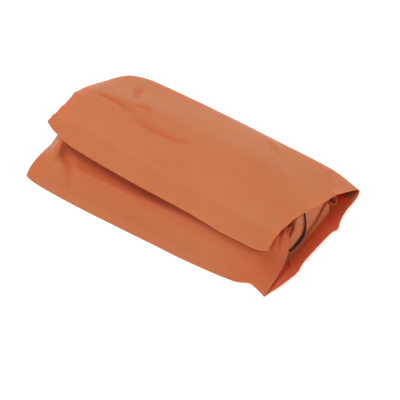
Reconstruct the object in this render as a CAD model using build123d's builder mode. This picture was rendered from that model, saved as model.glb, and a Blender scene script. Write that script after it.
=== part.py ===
from build123d import *
from math import asin, cos, degrees, hypot, radians, sin, sqrt
import os

# Flexible carry stretcher, folded for storage.  Millimetres.
# +X runs along the folded length, +Y towards the back fold, +Z up.
# The origin is on the surface it rests on, under the middle of the pack.
# The sheet is folded lengthwise into six leaves first.  Then one long side
# is turned in (front flap) and the other is laid over the top (cover).

# Driving dimensions
LENGTH = 350.0
CLOTH = 1.6            # one outer leaf with its lining
INNER_PACK = 5.0       # the five further leaves inside a flap
WEBBING = 1.4
GAP = 0.4              # air between soft layers that lie on each other

# Back fold, where the cover turns, and front fold, where the flap turns
BACK_FOLD_Y = 100.5
BACK_FOLD_Z = 24.0
BACK_BEAD_RADIUS = 1.5
BACK_CORNER_RADIUS = 12.0
FRONT_FOLD_Y = -100.5
FRONT_FOLD_Z = 1.5
FRONT_BEAD_RADIUS = 1.5

# Dome of the cover: a long arc to the back and a tighter one to the front
APEX_Y = -15.0
APEX_Z = 69.2
BACK_RADIUS = 168.1
BACK_ANGLE = 42.0
FRONT_RADIUS = 78.0
FRONT_ANGLE = 48.0
LIP_RADIUS = 4.5
TURNED_EDGE_ANGLE = 25.0
BACK_CENTRE = (APEX_Y, APEX_Z - BACK_RADIUS)
FRONT_CENTRE = (APEX_Y, APEX_Z - FRONT_RADIUS)

# Front flap: a straight wall that runs on over the inner stack
FLAP_RADIUS = 62.0
FOLD_TO_CENTRE = hypot(FRONT_CENTRE[0] - FRONT_FOLD_Y, FRONT_CENTRE[1] - FRONT_FOLD_Z)
CENTRE_SLOPE = degrees(asin((FRONT_CENTRE[1] - FRONT_FOLD_Z) / FOLD_TO_CENTRE))
WALL_ANGLE = degrees(asin(FLAP_RADIUS / FOLD_TO_CENTRE)) + CENTRE_SLOPE
WALL_LENGTH = sqrt(FOLD_TO_CENTRE**2 - FLAP_RADIUS**2)
WALL_START = 2.6
TUCK_END_ANGLE = 10.0

# Ends of the layers along X
BASE_X = (-LENGTH / 2, LENGTH / 2)
COVER_X = (-170.0, 169.0)
FLAP_X = (-173.0, 171.0)
STACK_X = (-165.0, 166.0)
COVER_CORNER_RADIUS = 36.0
COVER_Y = (-90.0, 105.5)   # wider than the cover, so that only its left corner is cut

# Transverse straps and the carry handles at the long edges
STRAP_WIDTH = 38.0
STRAP_X = (-115.0, 0.0, 112.0)
END_STRAP_X = (126.0, 164.0)
HANDLE_X = (-62.0, 62.0)
HANDLE_LENGTH = 96.0
HANDLE_FOLD = 25.0
BARTACK_LENGTH = 7.0
BARTACK_HEIGHT = 0.8
BARTACK_MARGIN = 3.0   # from the webbing's edges to the stitches
BARTACK_AIR = 0.05
HEM_WIDTH = 8.0
HEM_THICKNESS = 2.4
HEM_BUTT_ANGLE = 0.3   # air between the end of the leaf and the hem that binds it
HEM_SHIFT = 0.3        # the hem is thicker than the leaf, and its extra lies on the free side

# Offsets of the middles of the cover's layers, measured in from the outer leaf
COVER_PACK_OFFSET = CLOTH / 2 + GAP + INNER_PACK / 2
COVER_STRAP_OFFSET = COVER_PACK_OFFSET + INNER_PACK / 2 + GAP + WEBBING / 2
COVER_HANDLE_OFFSET = 2 * LIP_RADIUS + CLOTH / 2 + GAP + WEBBING
FLAP_PACK_OFFSET = CLOTH / 2 + GAP + INNER_PACK / 2
FLAP_STRAP_OFFSET = FLAP_PACK_OFFSET + INNER_PACK / 2 + GAP + WEBBING / 2
FLAP_HANDLE_OFFSET = FLAP_STRAP_OFFSET + WEBBING / 2 + GAP + WEBBING
COVER_HANDLE_RADIUS = FRONT_RADIUS - COVER_HANDLE_OFFSET
FLAP_HANDLE_RADIUS = FLAP_RADIUS - FLAP_HANDLE_OFFSET

# How far round the section each layer reaches, in degrees, and how much shorter it is
COVER_HANDLE_ANGLE = FRONT_ANGLE - 13.0
FLAP_HANDLE_ANGLE = WALL_ANGLE - 12.0
LEAVES_BACK_ANGLE = BACK_ANGLE - 5.0
LEAVES_FRONT_ANGLE = FRONT_ANGLE - 3.0
STRAP_BACK_ANGLE = BACK_ANGLE - 10.0
STRAP_FRONT_ANGLE = 14.0
LEAVES_SHORT = 4.0
FLAP_LEAVES_START = WALL_START + 8.0
FLAP_LEAVES_END_ANGLE = TUCK_END_ANGLE + 2.0
FLAP_STRAP_START = WALL_START + 20.0
FLAP_STRAP_END_ANGLE = TUCK_END_ANGLE + 4.0


def polar(centre, radius, angle):
    """Point at an angle, in degrees from +Y towards +Z, around a centre."""
    y = centre[0] + radius * cos(radians(angle))
    z = centre[1] + radius * sin(radians(angle))
    return (y, z)


def section_plane(x):
    """Plane across the pack at x, with local x along +Y and local y up."""
    return Plane(origin=(x, 0, 0), x_dir=(0, 1, 0), z_dir=(1, 0, 0))


def finish(part, label):
    """Name one sub-part and write its STEP file."""
    part.label = label
    export_step(part, f"parts/{label}.step")


def dome_lines(inset, back_angle, front_angle):
    """The cover's two arcs, moved inwards by inset."""
    CenterArc(BACK_CENTRE, BACK_RADIUS - inset, 90 - back_angle, back_angle)
    CenterArc(FRONT_CENTRE, FRONT_RADIUS - inset, 90, front_angle)


def flap_lines(inset, wall_start, end_angle):
    """The front flap's straight wall and its arc, moved inwards by inset."""
    turn = polar(FRONT_CENTRE, FLAP_RADIUS - inset, 90 + WALL_ANGLE)
    length = WALL_LENGTH - wall_start
    start = polar(turn, length, 180 + WALL_ANGLE)
    Line(start, turn)
    CenterArc(FRONT_CENTRE, FLAP_RADIUS - inset, 90 + WALL_ANGLE, end_angle - WALL_ANGLE)


def make_base_leaf():
    """Bottom leaf with its back wall and a soft fold bead along each hinge line."""
    mid = CLOTH / 2
    corner_y = BACK_FOLD_Y - BACK_CORNER_RADIUS
    with BuildPart() as base_leaf:
        with BuildSketch(section_plane(BASE_X[0])):
            with BuildLine():
                Line((FRONT_FOLD_Y, mid), (corner_y, mid))
                JernArc((corner_y, mid), (1, 0), BACK_CORNER_RADIUS, 90)
                Line((BACK_FOLD_Y, mid + BACK_CORNER_RADIUS), (BACK_FOLD_Y, BACK_FOLD_Z))
            trace(line_width=CLOTH)
            with Locations((FRONT_FOLD_Y, FRONT_FOLD_Z)):
                Circle(FRONT_BEAD_RADIUS)
            with Locations((BACK_FOLD_Y, BACK_FOLD_Z)):
                Circle(BACK_BEAD_RADIUS)
        extrude(amount=BASE_X[1] - BASE_X[0])
    finish(base_leaf.part, "base_leaf")


# Inner stack: leaves that lie on one gentle crown, measured by their rise over it
STACK_FLOOR = CLOTH + GAP
STACK_CROWN = (8.0, 17.0)
STACK_RADIUS = 466.0
STACK_CENTRE = (STACK_CROWN[0], STACK_CROWN[1] - STACK_RADIUS)
STACK_FRONT_Y = -80.0
STACK_BACK_Y = 94.0
LOWER_FRONT_SLANT = 6.0
LOWER_BACK_SLANT = 4.0
MIDDLE_Y = (-62.0, 93.0)
UPPER_BACK_Y = 89.0
MIDDLE_LEAF = 4.5
STRAP_LAYER = WEBBING + 2 * GAP
MIDDLE_TOP = STRAP_LAYER + MIDDLE_LEAF
UPPER_CROWN = 58.0
UPPER_FACE_Y = -2.0
UPPER_FRONT_ANGLE = 5.0
UPPER_BACK_ANGLE = 36.0
UPPER_FACE_DROP = 8.0
NOSE_TIP = (-48.0, 25.5)
NOSE_CROWN = (-28.0, 37.0)
NOSE_HEEL = (-18.0, 26.0)
NOSE_CORNER = (-10.5, 29.0)
NOSE_BACK_Y = -7.0
NOSE_BACK_Z = (36.5, 38.5)
NOSE_SHORT = 4.0
END_STRAP_TOP = 55.0
END_STRAP_LOW = 24.6
END_STRAP_BEND = 12.0
END_STRAP_TOE = (-42.0, 22.6)
BASE_STRAP_Y = (-66.0, 90.0)


def crown_angle(rise, y):
    """Polar angle of the stack's crown line at y."""
    return 90 - degrees(asin((y - STACK_CROWN[0]) / (STACK_RADIUS + rise)))


def crown_point(rise, y):
    """Point of the stack's crown line at y."""
    return polar(STACK_CENTRE, STACK_RADIUS + rise, crown_angle(rise, y))


def crown_arc(rise, start_y, end_y):
    """Arc of the stack's crown line between two places."""
    start = crown_angle(rise, start_y)
    turn = crown_angle(rise, end_y) - start
    CenterArc(STACK_CENTRE, STACK_RADIUS + rise, start, turn)


def make_lower_leaf():
    """Lowest folded leaf of the inner stack, flat below and crowned above."""
    front_top_y = STACK_FRONT_Y + LOWER_FRONT_SLANT
    back_bottom_y = STACK_BACK_Y - LOWER_BACK_SLANT
    with BuildPart() as lower_leaf:
        with BuildSketch(section_plane(STACK_X[0])):
            with BuildLine():
                Line((STACK_FRONT_Y, STACK_FLOOR), (back_bottom_y, STACK_FLOOR))
                Line((back_bottom_y, STACK_FLOOR), crown_point(0, STACK_BACK_Y))
                crown_arc(0, STACK_BACK_Y, front_top_y)
                Line(crown_point(0, front_top_y), (STACK_FRONT_Y, STACK_FLOOR))
            make_face()
        extrude(amount=STACK_X[1] - STACK_X[0])
    finish(lower_leaf.part, "base_inner_leaf_lower")


def make_middle_leaf():
    """Middle folded leaf, which lies on the straps over the lower leaf."""
    with BuildPart() as middle_leaf:
        with BuildSketch(section_plane(STACK_X[0])):
            with BuildLine():
                crown_arc(STRAP_LAYER + MIDDLE_LEAF / 2, MIDDLE_Y[1], MIDDLE_Y[0])
            trace(line_width=MIDDLE_LEAF)
        extrude(amount=STACK_X[1] - STACK_X[0])
    finish(middle_leaf.part, "base_inner_leaf_middle")


def make_upper_leaf():
    """Thick upper fold, domed under the cover, with a steep front face."""
    radius = BACK_RADIUS - (APEX_Z - UPPER_CROWN)
    shoulder = polar(BACK_CENTRE, radius, 90 - UPPER_FRONT_ANGLE)
    heel = polar(BACK_CENTRE, radius, 90 - UPPER_BACK_ANGLE)
    face_top = (UPPER_FACE_Y, shoulder[1] - UPPER_FACE_DROP)
    bottom_rise = MIDDLE_TOP + GAP
    with BuildPart() as upper_leaf:
        with BuildSketch(section_plane(STACK_X[0])):
            with BuildLine():
                Line(crown_point(bottom_rise, UPPER_FACE_Y), face_top)
                TangentArc(face_top, shoulder, tangent=(0, 1))
                CenterArc(BACK_CENTRE, radius, 90 - UPPER_FRONT_ANGLE,
                          UPPER_FRONT_ANGLE - UPPER_BACK_ANGLE)
                Line(heel, crown_point(bottom_rise, UPPER_BACK_Y))
                crown_arc(bottom_rise, UPPER_BACK_Y, UPPER_FACE_Y)
            make_face()
        extrude(amount=STACK_X[1] - STACK_X[0])
    finish(upper_leaf.part, "base_inner_leaf_upper")


def make_front_fold():
    """Soft fold of the inner leaves that fills the nose under the front flap."""
    with BuildPart() as front_fold:
        with BuildSketch(section_plane(STACK_X[0])):
            with BuildLine():
                Line(NOSE_TIP, NOSE_HEEL)
                ThreePointArc(NOSE_HEEL, NOSE_CORNER, (NOSE_BACK_Y, NOSE_BACK_Z[0]))
                Line((NOSE_BACK_Y, NOSE_BACK_Z[0]), (NOSE_BACK_Y, NOSE_BACK_Z[1]))
                ThreePointArc((NOSE_BACK_Y, NOSE_BACK_Z[1]), NOSE_CROWN, NOSE_TIP)
            make_face()
        extrude(amount=STACK_X[1] - STACK_X[0] - NOSE_SHORT)
    finish(front_fold.part, "base_inner_fold_front")


def make_end_strap():
    """Strap near the open end: down the upper fold's face, then forwards."""
    path_y = UPPER_FACE_Y - GAP - WEBBING / 2
    bend_start = (path_y, END_STRAP_LOW + END_STRAP_BEND)
    with BuildPart() as end_strap:
        with BuildSketch(section_plane(END_STRAP_X[0])):
            with BuildLine():
                Line((path_y, END_STRAP_TOP), bend_start)
                JernArc(bend_start, (0, -1), END_STRAP_BEND, -90)
                Line((path_y - END_STRAP_BEND, END_STRAP_LOW), END_STRAP_TOE)
            trace(line_width=WEBBING)
        extrude(amount=END_STRAP_X[1] - END_STRAP_X[0])
    finish(end_strap.part, "base_end_strap")


def make_base_strap(number, x):
    """Transverse strap between the lower and the middle leaf."""
    with BuildPart() as base_strap:
        with BuildSketch(section_plane(x - STRAP_WIDTH / 2)):
            with BuildLine():
                crown_arc(GAP + WEBBING / 2, BASE_STRAP_Y[1], BASE_STRAP_Y[0])
            trace(line_width=WEBBING)
        extrude(amount=STRAP_WIDTH)
    finish(base_strap.part, f"base_strap_{number}")


def cover_outline():
    """Plan of the cover, with a broad round corner at the back left."""
    left, right = COVER_X
    front, back = COVER_Y
    with BuildSketch(Plane.XY) as plan:
        with Locations(((left + right) / 2, (front + back) / 2)):
            Rectangle(right - left, back - front)
        corner = plan.vertices().sort_by(Axis.X)[0:2].sort_by(Axis.Y)[-1]
        fillet(corner, COVER_CORNER_RADIUS)
    return plan.sketch


def make_cover_leaf():
    """Outer leaf of the cover, with its free edge turned under at the lip."""
    lip = polar(FRONT_CENTRE, FRONT_RADIUS - LIP_RADIUS, 90 + FRONT_ANGLE)
    turned = FRONT_RADIUS - 2 * LIP_RADIUS
    outline = cover_outline()
    with BuildPart() as cover_leaf:
        with BuildSketch(section_plane(COVER_X[0])):
            with BuildLine():
                dome_lines(0, BACK_ANGLE, FRONT_ANGLE)
                CenterArc(lip, LIP_RADIUS, 90 + FRONT_ANGLE, 180)
                CenterArc(FRONT_CENTRE, turned, 90 + FRONT_ANGLE, -TURNED_EDGE_ANGLE)
            trace(line_width=CLOTH)
        extrude(amount=COVER_X[1] - COVER_X[0])
        extrude(outline, amount=APEX_Z + CLOTH, mode=Mode.INTERSECT)
    finish(cover_leaf.part, "cover_leaf")


def make_cover_inner_leaves():
    """The cover's further leaves, lying against the inside of the outer one."""
    outline = cover_outline()
    with BuildPart() as inner:
        with BuildSketch(section_plane(COVER_X[0] + LEAVES_SHORT)):
            with BuildLine():
                dome_lines(COVER_PACK_OFFSET, LEAVES_BACK_ANGLE, LEAVES_FRONT_ANGLE)
            trace(line_width=INNER_PACK)
        extrude(amount=COVER_X[1] - COVER_X[0] - 2 * LEAVES_SHORT)
        extrude(offset(outline, -LEAVES_SHORT), amount=APEX_Z, mode=Mode.INTERSECT)
    finish(inner.part, "cover_inner_leaves")


def make_cover_hem():
    """Bound free edge of the cover, at the end of the turned strip."""
    radius = FRONT_RADIUS - 2 * LIP_RADIUS
    arc = degrees(HEM_WIDTH / radius)
    start = 90 + FRONT_ANGLE - TURNED_EDGE_ANGLE - HEM_BUTT_ANGLE
    with BuildPart() as hem:
        with BuildSketch(section_plane(COVER_X[0])):
            with BuildLine():
                CenterArc(FRONT_CENTRE, radius + HEM_SHIFT, start, -arc)
            trace(line_width=HEM_THICKNESS)
        extrude(amount=COVER_X[1] - COVER_X[0])
    finish(hem.part, "cover_hem")


def make_cover_strap(number, x):
    """Transverse strap under the cover's inner leaves, behind the hem."""
    with BuildPart() as strap:
        with BuildSketch(section_plane(x - STRAP_WIDTH / 2)):
            with BuildLine():
                dome_lines(COVER_STRAP_OFFSET, STRAP_BACK_ANGLE, STRAP_FRONT_ANGLE)
            trace(line_width=WEBBING)
        extrude(amount=STRAP_WIDTH)
    finish(strap.part, f"cover_strap_{number}")


def make_handle(label, radius, centre_angle, x):
    """Carry handle, folded flat against a curved layer of the pack."""
    half = degrees(HANDLE_FOLD / 2 / radius)
    with BuildPart() as handle:
        with BuildSketch(section_plane(x - HANDLE_LENGTH / 2)):
            with BuildLine():
                CenterArc(FRONT_CENTRE, radius, 90 + centre_angle + half, -2 * half)
            trace(line_width=2 * WEBBING)
        extrude(amount=HANDLE_LENGTH)
    finish(handle.part, label)


def make_flap_leaf():
    """Outer leaf of the front flap: the front wall and its tucked end."""
    with BuildPart() as flap_leaf:
        with BuildSketch(section_plane(FLAP_X[0])):
            with BuildLine():
                flap_lines(0, WALL_START, TUCK_END_ANGLE)
            trace(line_width=CLOTH)
        extrude(amount=FLAP_X[1] - FLAP_X[0])
    finish(flap_leaf.part, "flap_leaf")


def make_flap_inner_leaves():
    """The flap's further leaves, on the inside of the outer one."""
    with BuildPart() as inner:
        with BuildSketch(section_plane(FLAP_X[0] + LEAVES_SHORT)):
            with BuildLine():
                flap_lines(FLAP_PACK_OFFSET, FLAP_LEAVES_START, FLAP_LEAVES_END_ANGLE)
            trace(line_width=INNER_PACK)
        extrude(amount=FLAP_X[1] - FLAP_X[0] - 2 * LEAVES_SHORT)
    finish(inner.part, "flap_inner_leaves")


def make_flap_hem():
    """Bound free edge of the front flap, at the end of its tucked part."""
    arc = degrees(HEM_WIDTH / FLAP_RADIUS)
    start = 90 + TUCK_END_ANGLE - HEM_BUTT_ANGLE
    with BuildPart() as hem:
        with BuildSketch(section_plane(FLAP_X[0])):
            with BuildLine():
                CenterArc(FRONT_CENTRE, FLAP_RADIUS - HEM_SHIFT, start, -arc)
            trace(line_width=HEM_THICKNESS)
        extrude(amount=FLAP_X[1] - FLAP_X[0])
    finish(hem.part, "flap_hem")


def make_flap_strap(number, x):
    """Transverse strap inside the front flap."""
    with BuildPart() as strap:
        with BuildSketch(section_plane(x - STRAP_WIDTH / 2)):
            with BuildLine():
                flap_lines(FLAP_STRAP_OFFSET, FLAP_STRAP_START, FLAP_STRAP_END_ANGLE)
            trace(line_width=WEBBING)
        extrude(amount=STRAP_WIDTH)
    finish(strap.part, f"flap_strap_{number}")


def make_bartacks(label, radius, centre_angle):
    """Dense stitch bars that hold the ends of the two handles of one edge."""
    inset = WEBBING + BARTACK_HEIGHT / 2 + BARTACK_AIR
    half = degrees((HANDLE_FOLD / 2 - BARTACK_MARGIN) / radius)
    reach = HANDLE_LENGTH / 2 - BARTACK_LENGTH - BARTACK_MARGIN
    with BuildPart() as bartacks:
        for handle_x in HANDLE_X:
            for side in (-1, 1):
                middle = handle_x + side * reach
                with BuildSketch(section_plane(middle - BARTACK_LENGTH / 2)):
                    with BuildLine():
                        start = 90 + centre_angle + half
                        CenterArc(FRONT_CENTRE, radius - inset, start, -2 * half)
                    trace(line_width=BARTACK_HEIGHT)
                extrude(amount=BARTACK_LENGTH)
    finish(bartacks.part, label)


os.makedirs("parts", exist_ok=True)

make_base_leaf()
make_lower_leaf()
make_middle_leaf()
make_upper_leaf()
make_front_fold()
make_end_strap()

make_cover_leaf()
make_cover_inner_leaves()
make_cover_hem()
for index, strap_x in enumerate(STRAP_X, start=1):
    make_base_strap(index, strap_x)
    make_cover_strap(index, strap_x)
    make_flap_strap(index, strap_x)
for side_name, side_x in zip(("left", "right"), HANDLE_X):
    make_handle(f"cover_handle_{side_name}", COVER_HANDLE_RADIUS, COVER_HANDLE_ANGLE, side_x)
    make_handle(f"flap_handle_{side_name}", FLAP_HANDLE_RADIUS, FLAP_HANDLE_ANGLE, side_x)
make_bartacks("cover_bartacks", COVER_HANDLE_RADIUS, COVER_HANDLE_ANGLE)

make_flap_leaf()
make_flap_inner_leaves()
make_flap_hem()
make_bartacks("flap_bartacks", FLAP_HANDLE_RADIUS, FLAP_HANDLE_ANGLE)
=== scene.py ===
"""Folded flexible stretcher: cloth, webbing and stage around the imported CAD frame.

Key points are in millimetres in the CAD frame: +X to the open end, +Y to the
back fold, +Z up.  Meshes, materials, lights and the camera are in metres.
"""
import math

import bmesh
import bpy
import numpy as np
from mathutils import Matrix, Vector, noise


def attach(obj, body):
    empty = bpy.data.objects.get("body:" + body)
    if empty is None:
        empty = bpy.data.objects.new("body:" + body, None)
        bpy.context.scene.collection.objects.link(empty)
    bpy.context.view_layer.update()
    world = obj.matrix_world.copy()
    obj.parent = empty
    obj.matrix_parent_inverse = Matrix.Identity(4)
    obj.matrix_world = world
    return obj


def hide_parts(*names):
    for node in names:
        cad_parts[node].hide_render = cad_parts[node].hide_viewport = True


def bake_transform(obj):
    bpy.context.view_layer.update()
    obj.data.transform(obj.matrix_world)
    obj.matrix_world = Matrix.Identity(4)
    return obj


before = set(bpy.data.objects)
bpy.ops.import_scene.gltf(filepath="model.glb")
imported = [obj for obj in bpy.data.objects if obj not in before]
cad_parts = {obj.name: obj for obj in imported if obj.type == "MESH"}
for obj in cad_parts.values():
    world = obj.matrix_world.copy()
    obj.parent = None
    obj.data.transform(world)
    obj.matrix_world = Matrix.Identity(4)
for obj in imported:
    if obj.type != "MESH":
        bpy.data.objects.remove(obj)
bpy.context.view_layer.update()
MM = 0.001

# ---------------------------------------------------------------- sizes

# Thicknesses, in millimetres.
CLOTH = 0.9
LEAF = 1.1
STACK_EDGE = 0.8
BAND = 1.2
HEM = 1.9

# Depths of what lies inside the cover and the flap, below their outer leaf.
FIRST_LEAF = 1.7
LEAF_PITCH = 1.5
STRAP_DEPTH = 6.7
COVER_GRIP_DEPTHS = (7.2, 8.45)
FLAP_GRIP_DEPTHS = (7.95, 9.2)

STRAP_X = (-115.0, 0.0, 112.0)
STRAP_WIDTH = 38.0
HANDLE_X = (-62.0, 62.0)
HANDLE_LENGTH = 96.0
HANDLE_WIDTH = 25.0

THREADS = 8
THREAD_RADIUS = 0.42
THREAD_SIDES = 6
THREAD_PITCH = 0.9
THREAD_LEAN = 0.4
THREAD_OFFSET = 0.2
BARTACK_INSET = 6.5
BARTACK_MARGIN = 3

# Lowest height of the middle of each outer leaf, which keeps the cloth off the floor.
COVER_LOWEST = 0.75
BOTTOM_LOWEST = 0.55
FLAP_LOWEST = 0.5

# ---------------------------------------------------------------- camera

VIEW_AZIMUTH = math.radians(34.0)
VIEW_ELEVATION = math.radians(48.0)
VIEW_DISTANCE = 16.0
VIEW_TARGET = Vector((0.0233, -0.0161, 0.0))
VIEW_WIDTH = 0.4896
SENSOR_WIDTH = 36.0


def make_camera():
    """Long lens from the front right and above; VIEW_WIDTH fills the frame at the target."""
    away = Vector((math.sin(VIEW_AZIMUTH) * math.cos(VIEW_ELEVATION),
                   -math.cos(VIEW_AZIMUTH) * math.cos(VIEW_ELEVATION),
                   math.sin(VIEW_ELEVATION)))
    data = bpy.data.cameras.new("camera")
    data.sensor_width = SENSOR_WIDTH
    data.lens = data.sensor_width * VIEW_DISTANCE / VIEW_WIDTH
    data.clip_end = 60.0
    camera = bpy.data.objects.new("camera", data)
    camera.location = VIEW_TARGET + away * VIEW_DISTANCE
    camera.rotation_euler = away.to_track_quat("Z", "Y").to_euler()
    bpy.context.scene.collection.objects.link(camera)
    bpy.context.scene.camera = camera


make_camera()

# ---------------------------------------------------------------- curves and surfaces

CURVE_STEPS = 16
CREASE_STEPS = 24
CREASE_FADE = 0.6
RAISED_AT = 2.2
RAISED_WIDTH = 1.2


def resample(points, count):
    """The same polyline as count points evenly spaced along it."""
    points = np.asarray(points, float)
    steps = np.linalg.norm(np.diff(points, axis=0), axis=1)
    along = np.concatenate([[0], np.cumsum(steps)])
    wanted = np.linspace(0, along[-1], count)
    return np.column_stack([np.interp(wanted, along, points[:, k]) for k in range(points.shape[1])])


def smooth_curve(points, closed=False):
    """Centripetal Catmull-Rom curve through the points."""
    p = np.asarray(points, float)
    if closed:
        p = np.vstack([p[-1], p, p[0], p[1]])
    else:
        p = np.vstack([2 * p[0] - p[1], p, 2 * p[-1] - p[-2]])
    out = []
    for a, b, c, d in zip(p[:-3], p[1:-2], p[2:-1], p[3:]):
        t1 = max(np.linalg.norm(b - a), 1e-6) ** 0.5
        t2 = t1 + max(np.linalg.norm(c - b), 1e-6) ** 0.5
        t3 = t2 + max(np.linalg.norm(d - c), 1e-6) ** 0.5
        t = np.linspace(t1, t2, CURVE_STEPS, endpoint=False)[:, None]
        ab = (t1 - t) / t1 * a + t / t1 * b
        bc = (t2 - t) / (t2 - t1) * b + (t - t1) / (t2 - t1) * c
        cd = (t3 - t) / (t3 - t2) * c + (t - t2) / (t3 - t2) * d
        abc = (t2 - t) / t2 * ab + t / t2 * bc
        bcd = (t3 - t) / (t3 - t1) * bc + (t - t1) / (t3 - t1) * cd
        out.append((t2 - t) / (t2 - t1) * abc + (t - t1) / (t2 - t1) * bcd)
    out = np.vstack(out)
    return np.vstack([out, out[:1]]) if closed else np.vstack([out, p[-2:-1]])


def spread_in_x(points, count):
    """The same polyline as count points evenly spaced in x."""
    points = np.asarray(points, float)
    x = np.linspace(points[0, 0], points[-1, 0], count)
    return np.column_stack([x] + [np.interp(x, points[:, 0], points[:, k]) for k in (1, 2)])


def net_surface(rows, across, along, spread=resample):
    """Grid of across x along points on the smooth surface through the feature lines in rows."""
    lines = [spread(smooth_curve(row), across) for row in rows]
    grid = np.zeros((across, along, 3))
    for i in range(across):
        grid[i] = resample(smooth_curve([line[i] for line in lines]), along)
    return grid


def grid_normals(grid):
    """Unit normals of a grid surface."""
    du = np.gradient(grid, axis=0)
    dv = np.gradient(grid, axis=1)
    n = np.cross(du, dv)
    return n / np.maximum(np.linalg.norm(n, axis=2, keepdims=True), 1e-12)


def smoothstep(low, high, value):
    """0 below low, 1 above high, smooth between."""
    t = np.clip((value - low) / (high - low), 0, 1)
    return t * t * (3 - 2 * t)


def bell(value, middle, width):
    """Smooth bump of height 1 about middle."""
    return np.exp(-(((value - middle) / width) ** 2))


def noise_field(grid, size, seed):
    """Smooth noise from -1 to 1 over the points of a grid, with features of the given size."""
    flat = grid.reshape(-1, 3) / size
    shift = Vector((seed * 7.31, seed * 3.17, seed * 1.93))
    values = [noise.noise(Vector(p) + shift) for p in flat]
    return np.array(values).reshape(grid.shape[:2])


def crease(points, path, depth, width, shoulder=0.3):
    """Valley along a path in plan, with raised shoulders, fading out at both ends."""
    path = resample(smooth_curve(path), CREASE_STEPS)
    best = np.full(points.shape[:2], np.inf)
    where = np.zeros(points.shape[:2])
    count = len(path) - 1
    for k in range(count):
        start, step = path[k], path[k + 1] - path[k]
        rel = points[..., :2] - start
        t = np.clip((rel @ step) / (step @ step), 0, 1)
        dist = np.linalg.norm(rel - t[..., None] * step, axis=-1)
        nearer = dist < best
        best = np.where(nearer, dist, best)
        where = np.where(nearer, (k + t) / count, where)
    fade = np.sin(np.pi * np.clip(where, 0.001, 0.999)) ** CREASE_FADE
    valley = bell(best, 0, width)
    raised = bell(best, RAISED_AT * width, RAISED_WIDTH * width)
    return -depth * fade * (valley - shoulder * raised)


class Skin:
    """A cloth surface, with places on it given by x and by the distance along its section."""

    def __init__(self, grid):
        self.grid = grid
        self.normals = grid_normals(grid)
        middle = grid[grid.shape[0] // 2]
        steps = np.linalg.norm(np.diff(middle, axis=0), axis=1)
        self.along = np.concatenate([[0], np.cumsum(steps)])
        self.xs = grid[:, grid.shape[1] // 2, 0]
        self.middle = middle

    def distance(self, y, z):
        """Distance along the section of the place nearest to (y, z)."""
        gaps = np.hypot(self.middle[:, 1] - y, self.middle[:, 2] - z)
        return self.along[gaps.argmin()]

    def at(self, x, s, depth):
        """Points at x and s, depth below the surface."""
        i = np.clip(np.interp(x, self.xs, np.arange(len(self.xs))), 0, len(self.xs) - 1.001)
        j = np.clip(np.interp(s, self.along, np.arange(len(self.along))), 0, len(self.along) - 1.001)
        i0, j0 = i.astype(int), j.astype(int)
        fi, fj = (i - i0)[..., None], (j - j0)[..., None]
        out = []
        for field in (self.grid, self.normals):
            low = field[i0, j0] * (1 - fi) + field[i0 + 1, j0] * fi
            high = field[i0, j0 + 1] * (1 - fi) + field[i0 + 1, j0 + 1] * fi
            out.append(low * (1 - fj) + high * fj)
        return out[0] - out[1] * np.asarray(depth)[..., None]

    def patch(self, x_range, s_range, depth, step=3.0):
        """Grid of points over a stretch of the surface, depth below it."""
        across = max(6, int(abs(x_range[1] - x_range[0]) / step))
        along = max(6, int(abs(s_range[1] - s_range[0]) / step))
        x, s = np.meshgrid(np.linspace(*x_range, across), np.linspace(*s_range, along), indexing="ij")
        return self.at(x, s, np.full(x.shape, float(depth)))


# ---------------------------------------------------------------- meshes

RIM_REACH = 0.9


def mesh_object(name, vertices, faces, uvs, materials, face_slots=None, tone=None):
    """Mesh object in metres from points in millimetres, with a UV per point in metres of cloth."""
    mesh = bpy.data.meshes.new(name)
    mesh.from_pydata((np.asarray(vertices) * MM).tolist(), [], faces)
    layer = mesh.uv_layers.new(name="cloth")
    loop_vertex = np.zeros(len(mesh.loops), int)
    mesh.loops.foreach_get("vertex_index", loop_vertex)
    layer.data.foreach_set("uv", (np.asarray(uvs)[loop_vertex] * MM).ravel())
    mesh.polygons.foreach_set("use_smooth", [True] * len(mesh.polygons))
    for material in materials:
        mesh.materials.append(material)
    if face_slots is not None:
        mesh.polygons.foreach_set("material_index", face_slots)
    # Painted shade per point, stored as the "crease" attribute that the nylon reads.
    if tone is not None:
        mesh.attributes.new("crease", "FLOAT", "POINT").data.foreach_set("value", tone)
    work = bmesh.new()
    work.from_mesh(mesh)
    bmesh.ops.recalc_face_normals(work, faces=work.faces)
    work.to_mesh(mesh)
    work.free()
    mesh.update()
    obj = bpy.data.objects.new(name, mesh)
    bpy.context.scene.collection.objects.link(obj)
    return obj


def cloth_uvs(grid):
    """Arc-length coordinates of a grid, in millimetres of cloth."""
    du = np.linalg.norm(np.diff(grid, axis=0), axis=2).mean(1)
    dv = np.linalg.norm(np.diff(grid, axis=1), axis=2).mean(0)
    u = np.concatenate([[0], np.cumsum(du)])
    v = np.concatenate([[0], np.cumsum(dv)])
    return np.stack(np.meshgrid(u, v, indexing="ij"), axis=-1)


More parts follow.
